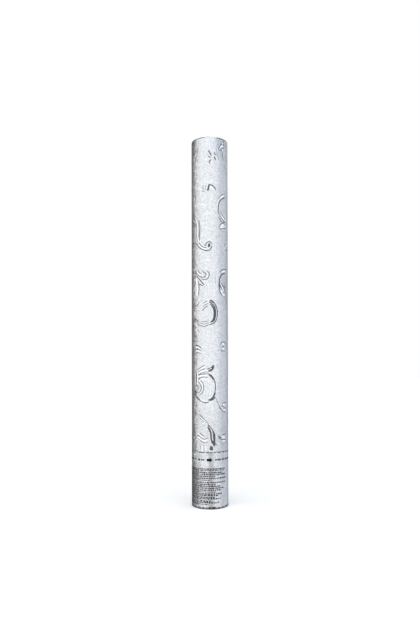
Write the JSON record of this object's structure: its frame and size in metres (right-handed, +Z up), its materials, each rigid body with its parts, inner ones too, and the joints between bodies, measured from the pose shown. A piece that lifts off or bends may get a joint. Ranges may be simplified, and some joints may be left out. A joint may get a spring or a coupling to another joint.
{
  "type": "confetti popper",
  "caption": "Tall slim confetti tube with a push-in muzzle plug and a twist grip that lifts an air release plug along helical slots.",
  "frame": {"origin": "centre of the flat foot of the base cap, the face that the popper stands on", "axes": "+Z up along the tube towards the muzzle; the printed arrow on the grip is on the -Y side"},
  "size_m": [0.05, 0.05, 0.5],
  "materials": {
    "foil_wrap": "speckled metallised paper, embossed with bright scrolls",
    "paperboard": "spiral-wound grey-brown board",
    "silver_plastic": "silver-grey moulded plastic",
    "white_moulding": "natural white moulding",
    "dark_plastic": "dark grey moulded plastic, lightly textured",
    "orange_nylon": "turned nylon",
    "foam": "fine-celled foam",
    "confetti_foil": "crinkled metallised film",
    "cylinder_aluminium": "drawn, satin",
    "brass": "turned",
    "steel": "bright wire and pin steel",
    "rubber": "moulded nitrile"
  },
  "bodies": {
    "barrel": {"barrel_tube": "paperboard", "barrel_wrap": "foil_wrap", "spacer_sleeve": "paperboard", "pivot_ring": "white_moulding", "pivot_tacks": "steel", "cam_collar": "white_moulding", "collar_tacks": "steel"},
    "grip": {"grip_tube": "paperboard", "grip_wrap": "foil_wrap", "base_housing": "white_moulding", "housing_tacks": "steel", "base_cap": "dark_plastic", "air_cylinder": "cylinder_aluminium", "release_head": "brass", "head_seal": "rubber", "fill_valve_body": "brass", "fill_valve_nut": "brass", "fill_valve_washer": "rubber", "fill_valve_ball": "steel", "fill_valve_spring": "steel", "fill_valve_retainer": "brass"},
    "release": {"release_plug": "orange_nylon", "plug_seals": "rubber", "cross_pin": "steel"},
    "wad": {"wad_foam": "foam", "wad_board": "paperboard"},
    "charge_lower": {"confetti_lower": "confetti_foil"},
    "charge_middle": {"confetti_middle": "confetti_foil"},
    "charge_upper": {"confetti_upper": "confetti_foil"},
    "plug": {"muzzle_plug": "silver_plastic"}
  },
  "joints": [
    {"name": "grip_twist", "type": "hinge", "parent": "barrel", "child": "grip", "pos_m": [0, 0, 0.0755], "axis": [0, 0, 1], "range_deg": [0, 90]},
    {"name": "plug_lift", "type": "slide", "parent": "grip", "child": "release", "axis": [0, 0, 1], "range_m": [0, 0.01]},
    {"name": "wad_travel", "type": "slide", "parent": "barrel", "child": "wad", "axis": [0, 0, 1], "range_m": [0, 0.26]},
    {"name": "charge_lower_travel", "type": "slide", "parent": "barrel", "child": "charge_lower", "axis": [0, 0, 1], "range_m": [0, 0.286]},
    {"name": "charge_middle_travel", "type": "slide", "parent": "barrel", "child": "charge_middle", "axis": [0, 0, 1], "range_m": [0, 0.312]},
    {"name": "charge_upper_travel", "type": "slide", "parent": "barrel", "child": "charge_upper", "axis": [0, 0, 1], "range_m": [0, 0.338]},
    {"name": "muzzle_plug_travel", "type": "slide", "parent": "barrel", "child": "plug", "axis": [0, 0, 1], "range_m": [0, 0.377]}
  ],
  "couplings": [
    {"joint": "plug_lift", "follows": "grip_twist", "m_per_rad": 0.0063662},
    {"joint": "charge_lower_travel", "follows": "wad_travel", "ratio": 1.1},
    {"joint": "charge_middle_travel", "follows": "wad_travel", "ratio": 1.2},
    {"joint": "charge_upper_travel", "follows": "wad_travel", "ratio": 1.3},
    {"joint": "muzzle_plug_travel", "follows": "wad_travel", "ratio": 1.45}
  ]
}
